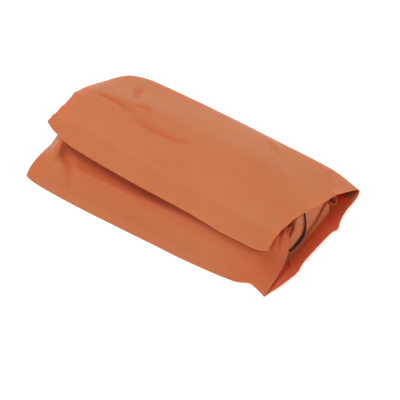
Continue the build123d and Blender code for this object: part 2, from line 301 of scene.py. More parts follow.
def sheet_mesh(name, grids, thickness, materials, tone=None):
    """Closed thin sheets, one for each grid: outer face, inner face and a bevelled rim.

    The thickness is a number, or one number for each point along the grids.
    The rim stands out by RIM_REACH times half the thickness.
    """
    vertices, uvs, faces, slots = [], [], [], []
    for grid in grids:
        base = sum(len(v) for v in vertices)
        rows, cols = grid.shape[:2]
        count = rows * cols
        normals = grid_normals(grid)
        uv = cloth_uvs(grid)
        loop = [(i, 0) for i in range(rows)]
        loop += [(rows - 1, j) for j in range(1, cols)]
        loop += [(i, cols - 1) for i in range(rows - 2, -1, -1)]
        loop += [(0, j) for j in range(cols - 2, 0, -1)]
        half = np.broadcast_to(np.asarray(thickness, float) / 2, (rows, cols))
        rim, rim_uv = [], []
        for i, j in loop:
            inner = grid[min(max(i, 1), rows - 2), min(max(j, 1), cols - 2)]
            out = grid[i, j] - inner
            out = out / max(np.linalg.norm(out), 1e-9)
            rim.append(grid[i, j] + out * half[i, j] * RIM_REACH)
            rim_uv.append(uv[i, j])
        vertices += [(grid + normals * half[..., None]).reshape(-1, 3),
                     (grid - normals * half[..., None]).reshape(-1, 3), np.array(rim)]
        uvs += [uv.reshape(-1, 2), uv.reshape(-1, 2), np.array(rim_uv)]
        for i in range(rows - 1):
            for j in range(cols - 1):
                a, b = base + i * cols + j, base + (i + 1) * cols + j
                faces.append((a, b, b + 1, a + 1))
                faces.append((count + a + 1, count + b + 1, count + b, count + a))
                slots += [0, len(materials) - 1]
        size = len(loop)
        for k in range(size):
            n = (k + 1) % size
            a = base + loop[k][0] * cols + loop[k][1]
            b = base + loop[n][0] * cols + loop[n][1]
            ra, rb = base + 2 * count + k, base + 2 * count + n
            faces += [(b, a, ra, rb), (count + a, count + b, rb, ra)]
            slots += [0, 0]
    points = np.vstack(vertices)
    # Painted shade for the first grid's outer face; zero everywhere else.
    shade = np.zeros(len(points))
    if tone is not None:
        shade[:tone.size] = tone.ravel()
    return mesh_object(name, points, faces, np.vstack(uvs), materials, slots, shade)


# ---------------------------------------------------------------- materials

WEAVE_PITCH = 0.00062
DRIFT_SHARE = 0.55
SLUB_SHARE = 0.25
WEAVE_SHARE = 0.06
SLUB_ROUGHNESS = 0.12
# Tint of the painted shade that the "crease" attribute mixes into the nylon.
PAINTED_SHADE_TINT = (0.98, 0.50, 0.38)
HERRINGBONE_WIDTH = 0.0048
RIB_PITCH = 0.0016
RIB_SHARE = 0.22


def new_material(name):
    """Node material with its principled shader."""
    material = bpy.data.materials.new(name)
    material.use_nodes = True
    tree = material.node_tree
    return material, tree, tree.nodes["Principled BSDF"]


def math_node(tree, operation, a, b=None):
    """Math node whose inputs are sockets or numbers; returns its output."""
    node = tree.nodes.new("ShaderNodeMath")
    node.operation = operation
    for slot, value in enumerate((a, b)):
        if value is None:
            continue
        if isinstance(value, (int, float)):
            node.inputs[slot].default_value = value
        else:
            tree.links.new(value, node.inputs[slot])
    return node.outputs[0]


def noise_node(tree, vector, scale, detail=2.0):
    """Noise texture over the given coordinates; returns its value."""
    node = tree.nodes.new("ShaderNodeTexNoise")
    node.inputs["Scale"].default_value = scale
    node.inputs["Detail"].default_value = detail
    tree.links.new(vector, node.inputs["Vector"])
    return node.outputs["Fac"]


def ramp_node(tree, factor, low, high):
    """Colour ramp from low to high, each a position and a colour; returns its colour."""
    node = tree.nodes.new("ShaderNodeValToRGB")
    for k, (position, colour) in enumerate((low, high)):
        node.color_ramp.elements[k].position = position
        node.color_ramp.elements[k].color = (*colour, 1)
    tree.links.new(factor, node.inputs["Fac"])
    return node.outputs["Color"]


def bump_node(tree, height, strength, distance, normal=None):
    """Bump from a height, on top of another normal if one is given; returns its normal."""
    node = tree.nodes.new("ShaderNodeBump")
    node.inputs["Strength"].default_value = strength
    node.inputs["Distance"].default_value = distance
    tree.links.new(height, node.inputs["Height"])
    if normal is not None:
        tree.links.new(normal, node.inputs["Normal"])
    return node.outputs["Normal"]


def cloth_place(tree):
    """Place on the cloth in metres, as one vector and as its two parts."""
    uv = tree.nodes.new("ShaderNodeUVMap")
    uv.uv_map = "cloth"
    split = tree.nodes.new("ShaderNodeSeparateXYZ")
    tree.links.new(uv.outputs[0], split.inputs[0])
    return uv.outputs[0], split.outputs[0], split.outputs[1]


def weave_height(tree, u, v):
    """Plain weave: warp and weft threads that go over and under each other."""
    scale = math.pi / WEAVE_PITCH
    wave_u = math_node(tree, "SINE", math_node(tree, "MULTIPLY", u, scale))
    wave_v = math_node(tree, "SINE", math_node(tree, "MULTIPLY", v, scale))
    return math_node(tree, "MULTIPLY", wave_u, wave_v)


def nylon(name, colour, deep, roughness, sheen):
    """Fine woven nylon: two tones that drift, faint slubs, weave bump and a soft sheen.

    The point attribute "crease" holds painted shade: it turns the colour deeper and redder where shade
    falls in creases and hollows.
    """
    material, tree, shader = new_material(name)
    links = tree.links
    uv, u, v = cloth_place(tree)
    weave = weave_height(tree, u, v)
    place = tree.nodes.new("ShaderNodeTexCoord").outputs["Object"]

    drift = noise_node(tree, place, 14.0, 3.0)
    stretch = tree.nodes.new("ShaderNodeMapping")
    stretch.inputs["Scale"].default_value = (260.0, 2600.0, 1.0)
    links.new(uv, stretch.inputs["Vector"])
    slub = noise_node(tree, stretch.outputs[0], 1.0)

    blend = math_node(tree, "ADD", math_node(tree, "MULTIPLY", drift, DRIFT_SHARE),
                      math_node(tree, "MULTIPLY", slub, SLUB_SHARE))
    blend = math_node(tree, "ADD", blend, math_node(tree, "MULTIPLY", weave, WEAVE_SHARE))
    two_tones = ramp_node(tree, blend, (0.15, deep), (0.7, colour))
    # Painted shade: the "crease" attribute mixes in a deeper, redder colour.
    shade_attribute = tree.nodes.new("ShaderNodeAttribute")
    shade_attribute.attribute_name = "crease"
    mix = tree.nodes.new("ShaderNodeMix")
    mix.data_type = "RGBA"
    mix.inputs["B"].default_value = (*(tint * part for tint, part in zip(PAINTED_SHADE_TINT, deep)), 1)
    links.new(shade_attribute.outputs["Fac"], mix.inputs["Factor"])
    links.new(two_tones, mix.inputs["A"])
    links.new(mix.outputs["Result"], shader.inputs["Base Color"])

    rough = math_node(tree, "ADD", math_node(tree, "MULTIPLY", slub, SLUB_ROUGHNESS), roughness)
    links.new(rough, shader.inputs["Roughness"])

    fine = bump_node(tree, weave, 0.25, 0.0001)
    soft = bump_node(tree, noise_node(tree, place, 95.0, 4.0), 0.12, 0.0012, fine)
    links.new(soft, shader.inputs["Normal"])

    shader.inputs["Sheen Weight"].default_value = sheen
    shader.inputs["Sheen Roughness"].default_value = 0.45
    shader.inputs["Sheen Tint"].default_value = (1.0, 0.76, 0.60, 1.0)
    shader.inputs["Specular IOR Level"].default_value = 0.3
    shader.inputs["Subsurface Weight"].default_value = 0.5
    shader.inputs["Subsurface Radius"].default_value = (1.0, 0.22, 0.08)
    shader.inputs["Subsurface Scale"].default_value = 0.0038
    return material


def webbing(name, colour, edge):
    """Flat woven webbing: herringbone ribs with a paler tone on the high threads."""
    material, tree, shader = new_material(name)
    uv, u, v = cloth_place(tree)
    slant = math_node(tree, "ADD", v, math_node(tree, "PINGPONG", u, HERRINGBONE_WIDTH))
    ribs = math_node(tree, "SINE", math_node(tree, "MULTIPLY", slant, math.tau / RIB_PITCH))
    fuzz = noise_node(tree, uv, 900.0)
    tone = math_node(tree, "ADD", math_node(tree, "MULTIPLY", ribs, RIB_SHARE), fuzz)
    tree.links.new(ramp_node(tree, tone, (0.3, colour), (0.9, edge)), shader.inputs["Base Color"])
    tree.links.new(bump_node(tree, tone, 0.5, 0.0004), shader.inputs["Normal"])
    shader.inputs["Roughness"].default_value = 0.72
    shader.inputs["Sheen Weight"].default_value = 0.04
    shader.inputs["Specular IOR Level"].default_value = 0.2
    return material


OUTER = nylon("outer_nylon", (0.880, 0.258, 0.094), (0.800, 0.208, 0.072), 0.50, 0.18)
# A darker, redder copy of the outer nylon for the sheets' inner faces: painted shade.
SHADED_INSIDE = nylon("nylon_inside_painted_shade", (0.600, 0.146, 0.046), (0.530, 0.112, 0.034), 0.55, 0.12)
# A darker copy of the outer nylon for the inner leaves: painted shade of the stack's end faces.
SHADED_INNER = nylon("inner_nylon", (0.700, 0.190, 0.060), (0.620, 0.148, 0.043), 0.52, 0.12)
TAPE = webbing("hem_tape", (0.420, 0.085, 0.030), (0.600, 0.150, 0.060))
WEBBING = webbing("black_webbing", (0.006, 0.005, 0.006), (0.018, 0.016, 0.017))
THREAD = webbing("stitch_thread", (0.020, 0.019, 0.020), (0.080, 0.078, 0.080))

# ---------------------------------------------------------------- cover

LIP_FOLD = 1.8
STRIP_DIP = math.radians(3.0)
HEEL_REACH = 12
# Crease depth, in millimetres, for each unit of painted shade in the cover's creases.
CREASE_TO_PAINTED_SHADE = 6.0

# Feature lines from left to right, in the order of the section from the lip to the heel.
LIP = [(-177.5, -52, 52.5), (-170, -54.8, 48), (-160, -56.5, 43.8), (-150, -58.2, 41), (-139, -60, 39.4),
       (-109, -62, 38.6), (-65, -65, 38.8), (-6, -69, 40.2), (60, -72, 40.2), (91, -74, 39.8),
       (121, -74, 39.6), (136, -74, 38.9), (149, -72.3, 38.8), (157.5, -68, 40.5)]
SHOULDER = [(-175, -42, 56.6), (-160, -43, 58.6), (-134, -44, 59.8), (-100, -46, 60.5), (-15, -50, 61),
            (70, -54, 61), (112, -55, 61), (140, -53, 60), (162.8, -49, 58.8)]
TOP = [(-173, -11, 59), (-160, -13, 62.5), (-134, -14, 65.5), (-100, -14, 67.5), (-15, -15, 69),
       (70, -16, 69), (112, -16, 68), (140, -15, 65.5), (166, -15, 57.5)]
MID = [(-173.3, 18, 50.8), (-160, 21, 54), (-134, 22, 57.8), (-100, 22, 61), (-15, 22, 64.5),
       (70, 22, 64.5), (112, 22, 62), (140, 22, 56), (169.5, 20, 46)]
BACK = [(-168.6, 54, 33.2), (-157, 58.5, 36.3), (-134, 62, 39), (-100, 62, 42), (-15, 62, 46.5),
        (70, 62, 46.5), (112, 62, 44.5), (140, 62, 40), (173, 60, 31.5)]
RIDGE = [(-159.5, 84, 22), (-152.5, 91.5, 20.6), (-134, 99.3, 19.3), (-100, 101, 20.5), (-15, 101, 22.5),
         (70, 101, 22), (112, 101, 21.5), (146, 101, 19), (177, 103.5, 3.5)]
WALL = [(-163.5, 87, 11), (-153, 95, 10), (-134, 101, 9), (-100, 103, 10), (-15, 103, 11),
        (70, 103, 11), (112, 103, 10), (146, 103, 9.5), (178, 104, 2.2)]
HEEL = [(-165, 85.5, 1.2), (-153, 91.5, 1.1), (-134, 96, 1.1), (-100, 98, 1.1), (-15, 98, 1.1),
        (70, 98, 1.1), (112, 98, 1.1), (146, 98, 1.1), (178, 99, 1.1)]


# Path in plan, depth, width and height of the shoulders of each crease.
COVER_CREASES = [
    ([(-153, 15), (-134, 17), (-114, 14), (-100, 9), (-90, 7)], 3.0, 5.5, 0.05),
    ([(-88, 2), (-72, 0), (-54, -2), (-36, -1), (-18, 1), (-1, 4)], 3.5, 6.0, 0.05),
    ([(-122, 68), (-117, 55), (-106, 31)], 2.9, 5.5, 0.05),
    ([(-98, 20), (-84, 26), (-72, 11)], 2.0, 5.0, 0.05),
    ([(-24, -12), (-6, -22), (10, -36)], 1.2, 5.0, 0.3),
    ([(-60, -30), (-20, -38), (30, -46)], 0.9, 8.0, 0.3),
    ([(48, 97), (66, 86), (84, 70)], -1.5, 4.0, 0.5),
    ([(172, 76), (155, 88), (134, 98)], -2.2, 4.0, 0.6),
]

# Height, place in y and width of each wave of the cover's free edges.
LEFT_WAVES = [(1.3, 0, 6), (-1.0, -20, 6), (0.9, -29, 5)]
RIGHT_WAVES = [(-2.4, 2, 3.0), (1.4, 10, 4), (-1.0, -34, 5), (1.2, -24, 5), (-1.2, 40, 5), (1.4, 60, 6)]


def lip_rows():
    """Feature lines from the free end of the strip turned under, round the lip."""
    upper = np.array(SHOULDER)
    strip = {share: [] for share in (0.95, 0.55, 0.18)}
    bends = {angle: [] for angle in (290, 245, 200, 155)}
    for x, y, z in LIP:
        rise = np.interp(x, upper[:, 0], upper[:, 2]) - z
        run = np.interp(x, upper[:, 0], upper[:, 1]) - y
        slope = math.atan2(rise, run) - STRIP_DIP
        for share, row in strip.items():
            reach = share * math.hypot(rise, run)
            row.append((x, y + 1.5 * LIP_FOLD + reach * math.cos(slope),
                        z - 0.9 * LIP_FOLD + reach * math.sin(slope)))
        for angle, row in bends.items():
            turn = math.radians(angle)
            row.append((x, y + LIP_FOLD * (1 + math.cos(turn)), z + LIP_FOLD * math.sin(turn)))
    return list(strip.values()) + list(bends.values())


def cover_grid():
    """Turned strip, lip, top, back fold, back wall and heel as one surface."""
    heel_end = [(x, y - HEEL_REACH, z) for x, y, z in HEEL]
    rows = lip_rows() + [SHOULDER, TOP, MID, BACK, RIDGE, WALL, HEEL, heel_end]
    return net_surface(rows, 190, 230)


def cover_creases(grid):
    """Height of the soft creases over the cover's plan."""
    return sum(crease(grid, *row) for row in COVER_CREASES)


def waves(y, rows):
    """Height along an edge of the waves in rows."""
    return sum(height * bell(y, place, width) for height, place, width in rows)


def cover_edge_waves(grid):
    """Small waves of the free left and right edges."""
    x, y = grid[..., 0], grid[..., 1]
    on_top = smoothstep(24, 32, grid[..., 2])
    left = (1 - smoothstep(-174, -150, x)) * on_top
    right = smoothstep(159, 170, x) * on_top
    out = np.zeros(grid.shape)
    out[..., 0] -= 1.2 * left * bell(y, 2, 7)
    out[..., 2] += left * waves(y, LEFT_WAVES)
    out[..., 2] += right * waves(y, RIGHT_WAVES)
    return out


def shape_cover(grid):
    """Adds creases, soft undulation and the edges' waves; also gives painted shade, deeper in the deeper
    creases.
    """
    normals = grid_normals(grid)
    on_top = smoothstep(26, 36, grid[..., 2])
    lift = cover_creases(grid) * on_top
    # Painted shade: the depth of each crease turned into a deeper, redder colour.
    tone = np.clip(-lift / CREASE_TO_PAINTED_SHADE, 0, 0.5)
    lift = lift + 0.8 * noise_field(grid, 52.0, 1) * on_top
    lift = lift + 0.28 * noise_field(grid, 20.0, 2) * smoothstep(12, 20, grid[..., 2])
    shaped = grid + normals * lift[..., None] + cover_edge_waves(grid)
    shaped[..., 2] = np.maximum(shaped[..., 2], COVER_LOWEST)
    return shaped, tone


COVER_GRID, COVER_PAINTED_SHADE = shape_cover(cover_grid())
COVER = Skin(COVER_GRID)
COVER_FOLD = COVER.distance(*RIDGE[4][1:])
COVER_LIP = COVER.distance(*LIP[7][1:])


def make_cover():
    """Outer leaf of the cover, from under the heel over the top to the turned strip."""
    sheet = sheet_mesh("cover_cloth", [COVER.grid], CLOTH, [OUTER, SHADED_INSIDE], COVER_PAINTED_SHADE)
    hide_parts("cover_leaf")
    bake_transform(sheet)


def make_leaves(name, skin, spans, node, body):
    """Folded layers that lie against the inside of an outer leaf."""
    grids = []
    for k, (x_range, s_range) in enumerate(spans):
        grids.append(skin.patch(x_range, s_range, FIRST_LEAF + k * LEAF_PITCH, step=4.0))
    leaves = sheet_mesh(name, grids, LEAF, [SHADED_INNER])
    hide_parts(node)
    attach(leaves, body)


def make_band(name, skin, x_range, s_range, depths, node, body):
    """Webbing laid on the inside of a leaf, in one or two layers."""
    grids = [skin.patch(x_range, s_range, depth) for depth in depths]
    band = sheet_mesh(name, grids, BAND, [WEBBING])
    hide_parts(node)
    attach(band, body)


def make_hem(name, skin, x_range, s_range, node, body):
    """Binding tape over the free edge of a leaf."""
    tape = sheet_mesh(name, [skin.patch(x_range, s_range, 0.0)], HEM, [TAPE])
    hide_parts(node)
    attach(tape, body)


def tubes(name, paths, radius, material):
    """Round threads along the given paths."""
    vertices, uvs, faces = [], [], []
    sides = THREAD_SIDES
    turns = np.linspace(0, math.tau, sides, endpoint=False)
    for path in paths:
        base = len(vertices)
        along = np.gradient(path, axis=0)
        along /= np.linalg.norm(along, axis=1, keepdims=True)
        side = np.cross(along, [1.0, 0.0, 0.0])
        side /= np.linalg.norm(side, axis=1, keepdims=True)
        other = np.cross(along, side)
        for i, point in enumerate(path):
            for turn in turns:
                vertices.append(point + radius * (math.cos(turn) * side[i] + math.sin(turn) * other[i]))
                uvs.append((turn * radius, i * 2.0))
        for i in range(len(path) - 1):
            for j in range(sides):
                n = (j + 1) % sides
                a, b = base + i * sides, base + (i + 1) * sides
                faces.append((a + j, a + n, b + n, b + j))
        faces.append(tuple(base + j for j in range(sides)))
        faces.append(tuple(base + (len(path) - 1) * sides + j for j in range(sides)))
    return mesh_object(name, vertices, faces, uvs, [material])


def make_bartacks(name, skin, s_range, depth, node, body):
    """Rows of dense thread that hold the handles' ends."""
    paths = []
    for handle_x in HANDLE_X:
        for side in (-1, 1):
            middle = handle_x + side * (HANDLE_LENGTH / 2 - BARTACK_INSET)
            for k in range(THREADS):
                x = middle + THREAD_PITCH * (k - (THREADS - 1) / 2)
                s = np.linspace(s_range[0] + BARTACK_MARGIN, s_range[1] - BARTACK_MARGIN, 10)
                lean = np.linspace(-THREAD_LEAN, THREAD_LEAN, len(s)) * (-1) ** k
                paths.append(skin.at(x + lean, s, np.full(len(s), depth)))
    stitches = tubes(name, paths, THREAD_RADIUS, THREAD)
    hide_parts(node)
    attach(stitches, body)


def make_handles(prefix, skin, s_range, depths, body):
    """The two carry handles of one long edge and their bartacks."""
    for side, x in zip(("left", "right"), HANDLE_X):
        x_range = (x - HANDLE_LENGTH / 2, x + HANDLE_LENGTH / 2)
        make_band(f"{prefix}_grip_{side}", skin, x_range, s_range, depths, f"{prefix}_handle_{side}", body)
    make_bartacks(f"{prefix}_bartack_threads", skin, s_range, depths[-1] + BAND / 2 + THREAD_OFFSET,
                  f"{prefix}_bartacks", body)


def make_straps(prefix, skin, s_range, body):
    """The three transverse straps inside a leaf."""
    for number, x in enumerate(STRAP_X, start=1):
        x_range = (x - STRAP_WIDTH / 2, x + STRAP_WIDTH / 2)
        make_band(f"{prefix}_webbing_{number}", skin, x_range, s_range, [STRAP_DEPTH],
                  f"{prefix}_strap_{number}", body)


def make_cover_inside():
    """Everything that lies against the inside of the cover.

    Each span is a range in x and a range along the section.
    """
    spans = [((-163, 160), (COVER_LIP + 31, COVER_FOLD - 14)),
             ((-160, 157), (COVER_LIP + 34, COVER_FOLD - 18)),
             ((-162, 159), (COVER_LIP + 32, COVER_FOLD - 16))]
    make_leaves("cover_inner_leaves_cloth", COVER, spans, "cover_inner_leaves", "cover")
    make_straps("cover", COVER, (COVER_LIP + 34, COVER_FOLD - 24), "cover")
    make_hem("cover_binding", COVER, (-170, 157), (0.0, 8.0), "cover_hem", "cover")
    grip = (COVER_LIP + 6, COVER_LIP + 6 + HANDLE_WIDTH)
    make_handles("cover", COVER, grip, COVER_GRIP_DEPTHS, "cover")


# ---------------------------------------------------------------- bottom leaf

# y, x and height along the free right edge.
RIM = [(103, 178, 1.6), (96, 180.7, 2.2), (79, 182.7, 3.4), (68, 182.8, 3.6), (58, 184.3, 3.4),
       (46, 187.2, 3.0), (37, 190.5, 1.6), (29, 188, 2.8), (11, 187.3, 3.6), (-10, 187, 3.8),
       (-34, 187, 3.6), (-51.5, 189, 1.8), (-63, 187.4, 2.6), (-75.5, 185.3, 3.0), (-84, 183.3, 2.6),
       (-95, 179.5, 1.6), (-104, 177, 1.0)]
RIM_X = 188
# Place in y at the rim, and slant, of the two ridges that run in from its points.
RIM_RIDGES = ((37, 0.55), (-51.5, -0.5))
BOTTOM_HEIGHT = 1.5
BOTTOM_LEFT = -174
LEFT_SLANT = 12
FRONT_INSET = 4.5
BACK_REACH = 4


def bottom_grid():
    """Bottom leaf up to its free right edge, which stands a little off the floor."""
    rows = []
    for y, right, height in RIM[::-1]:
        left = BOTTOM_LEFT + LEFT_SLANT * float(smoothstep(45, 95, y))
        rows.append([(x, y, BOTTOM_HEIGHT) for x in (left, -90, 0, 90, 150)])
        rows[-1] += [(168, y, BOTTOM_HEIGHT + 0.1 * height), (right, y, height)]
    grid = net_surface(rows, 170, 120)
    x, y = grid[..., 0].copy(), grid[..., 1].copy()
    front = np.array(FLAP_FOLD)
    back = np.array(HEEL)
    share = (y - y.min()) / (y.max() - y.min())
    y_front = np.interp(x, front[:, 0], front[:, 1]) + FRONT_INSET
    y_back = np.interp(x, back[:, 0], back[:, 1])
    y_back = y_back + np.interp(x, [BOTTOM_LEFT, 140, 178], [0, 0, BACK_REACH])
    free = smoothstep(170, 177, x)
    pinned = y_front + share * (y_back - y_front)
    grid[..., 1] = pinned * (1 - free) + y * free
    near_rim = smoothstep(160, 176, x)
    ridges = sum(bell(y + slant * (RIM_X - x), place, 2.2) for place, slant in RIM_RIDGES)
    grid[..., 2] += near_rim * (1.4 * ridges + 0.3 * noise_field(grid, 9.0, 31))
    grid[..., 2] = np.maximum(grid[..., 2], BOTTOM_LOWEST)
    return grid


def make_bottom():
    """Bottom leaf of the outer cloth."""
    # The bottom leaf's upper face takes the darker copy of the nylon, with painted shade.
    sheet = sheet_mesh("bottom_cloth", [bottom_grid()], CLOTH, [SHADED_INSIDE, OUTER])
    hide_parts("base_leaf")
    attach(sheet, "base")


# ---------------------------------------------------------------- front flap

UNDER_REACH = 8
PLEAT_HEIGHT = 1.7
PLEAT_RUN = (1.5, 3.2)
# The painted shade under the lip ends at the line x + HOLLOW_SLOPE * y + HOLLOW_START = 0 in plan.
HOLLOW_SLOPE = 0.97
HOLLOW_START = 214
# Painted shade on the flap: its strength under the lip, the corner crease's depth for each unit of it, and
# its strength at the far right end.
UNDER_LIP_PAINTED_SHADE = 0.6
CORNER_TO_PAINTED_SHADE = 7.0
FAR_END_PAINTED_SHADE = 0.32

# Feature lines from left to right, from the front fold up and in under the cover.
FLAP_FOLD = [(-174.5, -103, 0.6), (-157, -107, 0.6), (-133, -108.6, 0.6), (-100, -109.6, 0.6),
             (-15, -109.8, 0.6), (70, -108.5, 0.6), (116, -105.8, 0.6), (136, -102.6, 0.8),
             (150, -96.6, 1.6), (162, -98.8, 1.0), (177, -104.2, 0.6)]
FLAP_LOW = [(-175.7, -96.2, 5.5), (-163.1, -95.9, 5.8), (-150.8, -96.8, 4.9), (-139, -97.6, 4.1),
            (-103.3, -98.2, 3.5), (-18.4, -97.9, 3.7), (66.7, -97.2, 4.5), (113.2, -95.8, 5.9),
            (135.2, -94.3, 7.4), (150.6, -91.4, 10.2), (165, -90, 9), (176.2, -86, 6)]
FLAP_HIGH = [(-173.5, -84, 14.5), (-161.9, -84.7, 16.8), (-149, -85.1, 16.6), (-137.7, -86.4, 15.1),
             (-102.1, -87.8, 13.8), (-17.7, -88, 13.7), (66.7, -87.1, 14.5), (112.4, -85.7, 15.9),
             (134, -83.6, 18.1), (149.6, -80.9, 20.7), (165, -75, 16.5), (174.8, -67, 9)]
FLAP_BROW = [(-172.5, -68, 16.5), (-162, -70, 25), (-154.1, -70.3, 31.2), (-150.8, -70.6, 30.9),
             (-147, -72.5, 23), (-139, -74, 20.5), (-120, -75.5, 21.5), (-100, -76.5, 22.5),
             (-15.7, -77.4, 24.1), (48.1, -77.2, 24.3), (87.1, -76.2, 25.3), (112.7, -76.1, 25.4),
             (134.1, -74.7, 26.8), (149.5, -71.8, 29.6), (164, -62, 26), (173.2, -51, 18)]
FLAP_TUCK = [(-171.5, -52, 17), (-163, -56, 29.5), (-154.5, -60, 37.5), (-150.5, -61, 37.5),
             (-147, -62.5, 24), (-139, -63, 21.5), (-120, -63, 21.5), (-100, -63, 22.5),
             (-15, -65, 26), (50, -67.5, 31), (89.1, -68.7, 32.7), (114.4, -68.6, 32.8),
             (135.7, -67.6, 33.9), (151, -63.9, 37.4), (163, -54, 37), (171.6, -43, 32)]
FLAP_OVER = [(-170, -38, 24), (-163, -43, 38), (-154, -47, 46), (-150, -48, 44), (-145, -49, 34),
             (-128, -49, 32), (-100, -49, 33), (-15, -52, 36.5), (50, -55, 41), (89.8, -56.7, 44.6),
             (115.2, -56.8, 44.4), (136.4, -56.1, 45.2), (151, -52, 47.5), (161, -46, 48.5),
             (168.6, -38, 50.5)]
FLAP_END = [(-168, -28, 32), (-162, -28, 44), (-153, -30, 51), (-144, -30, 49), (-128, -30, 50),
            (-100, -30, 52), (-15, -34, 53), (70, -40, 53), (116, -42, 52.5), (137, -41, 51.5),
            (150, -36, 51), (159, -31, 50.5), (165.5, -28, 49.5)]


def flap_grid():
    """Front wall from under the front fold up and in over the stack, and the painted shade on it."""
    under = [(x, y + UNDER_REACH, FLAP_LOWEST) for x, y, _ in FLAP_FOLD]
    rows = [under, FLAP_FOLD, FLAP_LOW, FLAP_HIGH, FLAP_BROW, FLAP_TUCK, FLAP_OVER, FLAP_END]
    grid = net_surface(rows, 270, 110, spread_in_x)
    normals = grid_normals(grid)
    x, y = grid[..., 0], grid[..., 1]
    on_wall = smoothstep(3, 12, grid[..., 2])
    lift = 0.7 * noise_field(grid, 46.0, 5) * on_wall
    lift = lift + 0.25 * noise_field(grid, 16.0, 6) * on_wall
    lift = lift + crease(grid, [(-66, -78), (-62, -92), (-58, -104)], -0.6, 6.0) * on_wall
    lift = lift + crease(grid, [(120, -86), (128, -94), (138, -99)], 0.9, 4.0) * on_wall
    gathered = smoothstep(146, 158, x) * smoothstep(33, 40, grid[..., 2])
    lift = lift + gathered * PLEAT_HEIGHT * np.sin(x / PLEAT_RUN[0] + y / PLEAT_RUN[1])
    corner = crease(grid, [(-150, -58), (-138, -71), (-125, -84), (-114, -98)], 2.2, 4.5, 0.5) * on_wall
    # Painted shade: a deeper, redder colour under the lip, along the left corner crease and towards the far
    # right end, where shade falls.
    lip_shade_mask = smoothstep(-92, -64, y) * (1 - 0.5 * smoothstep(20, 130, x))
    lip_shade_mask = lip_shade_mask * smoothstep(-2, 6, x + HOLLOW_SLOPE * y + HOLLOW_START)
    tone = UNDER_LIP_PAINTED_SHADE * lip_shade_mask - corner / CORNER_TO_PAINTED_SHADE + FAR_END_PAINTED_SHADE * smoothstep(80, 150, x)
    tone = np.clip(tone, 0, 0.75)
    grid = grid + normals * (lift + corner)[..., None]
    grid[..., 2] = np.maximum(grid[..., 2], FLAP_LOWEST)
    return grid, tone


FLAP_GRID, FLAP_PAINTED_SHADE = flap_grid()
FLAP = Skin(FLAP_GRID)
FLAP_START = FLAP.distance(*FLAP_FOLD[4][1:])
FLAP_LENGTH = FLAP.along[-1]


def make_flap():
    """Outer leaf of the front flap."""
    sheet = sheet_mesh("front_flap_cloth", [FLAP.grid], CLOTH, [OUTER, SHADED_INSIDE], FLAP_PAINTED_SHADE)
    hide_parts("flap_leaf")
    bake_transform(sheet)


def make_flap_inside():
    """Everything that lies against the inside of the front flap."""
    spans = [((-166, 156), (FLAP_START + 20, FLAP_LENGTH - 9)),
             ((-163, 152), (FLAP_START + 23, FLAP_LENGTH - 12)),
             ((-165, 154), (FLAP_START + 21, FLAP_LENGTH - 10))]
    make_leaves("flap_inner_leaves_cloth", FLAP, spans, "flap_inner_leaves", "front_flap")
    make_straps("flap", FLAP, (FLAP_START + 26, FLAP_LENGTH - 14), "front_flap")
    make_hem("flap_binding", FLAP, (-168, 163), (FLAP_LENGTH - 8, FLAP_LENGTH), "flap_hem", "front_flap")
    grip = (FLAP_LENGTH - 12 - HANDLE_WIDTH, FLAP_LENGTH - 12)
    make_handles("flap", FLAP, grip, FLAP_GRIP_DEPTHS, "front_flap")


# ---------------------------------------------------------------- inner stack

END_LEAN = 0.07
END_X = 169.5
RING_POINTS = 120
SPINE_POINTS = 60
MIDDLE_SECTIONS = 60
ROUNDING = 2.4
DOME = 1.4
LENGTHWISE_NOISE = 0.15
BESIDE_GAP = 0.55

# Between these two x the section changes from the inner outline to the one at the open end.
MORPH = (116, 152)

# Outlines, middle lines and paths of the section, as (y, z).
LOWER_INNER = [(-58, 4), (-40, 2.8), (10, 2.8), (60, 2.8), (90, 3.4), (93, 9), (84, 15), (50, 16.6),
               (10, 16.4), (-20, 15), (-44, 11), (-57, 7)]
LOWER_END = [(-52, 5), (-40, 3), (-10, 2.9), (20, 2.9), (48, 3.4), (52.5, 9), (52, 19), (48, 24.4),
             (42, 23.4), (28, 15.2), (6.5, 8.9), (-11, 6.4), (-40, 6.2), (-50, 7.2)]
LOWER_SPINE = [(-42, 4.8), (-10, 4.7), (22, 7.5), (50, 15)]
MIDDLE_INNER = [(-45, 15.5), (-36, 18.8), (0, 19.6), (50, 19.6), (86, 18.6), (88, 20.5), (80, 22.8),
                (50, 24.4), (0, 24.4), (-34, 24.2), (-44, 23.5), (-48, 19.5)]
MIDDLE_SPINE = [(-30, 21), (80, 21)]
UPPER_INNER = [(-3, 26), (20, 26), (60, 25.6), (70, 25.6), (72, 27.4), (58, 35), (40, 48), (20, 54),
               (4, 56.5), (-3, 54), (-4.5, 44), (-4.5, 33)]
UPPER_END = [(-39, 9.4), (-11.4, 9.4), (6.2, 12.2), (27.3, 18.8), (43, 27), (49, 28), (44, 34), (28, 42),
             (10, 48.5), (3, 49), (2.0, 43), (2.0, 34), (0.6, 23), (-5.5, 16.6), (-17, 13.4), (-37, 14)]
UPPER_SPINE = [(-30, 11.8), (-6, 13.4), (10, 22), (14, 36), (32, 32)]
FRONT_INNER = [(-36, 25.5), (-20, 25.4), (-9, 26), (-6.5, 31), (-6, 42), (-7, 51), (-13, 54.5), (-20, 53.5),
               (-24, 48), (-26, 41), (-32, 35), (-38, 30), (-39, 27)]
FRONT_END = [(-36, 17.2), (-16.7, 17.0), (-9.4, 19.7), (-4.8, 26), (-2.8, 35), (-2.2, 42), (-3.4, 50),
             (-10, 52.5), (-16, 52.5), (-19, 46), (-22, 40), (-27, 37.5), (-32, 34), (-35.5, 27)]
FRONT_SPINE = [(-29, 24), (-18, 28), (-12, 40)]
STRAP_PATH = [(-1.5, 53), (-0.2, 42.5), (-0.6, 35.4), (-2.8, 25), (-8.2, 18.6), (-17, 15.9), (-35, 15.6)]
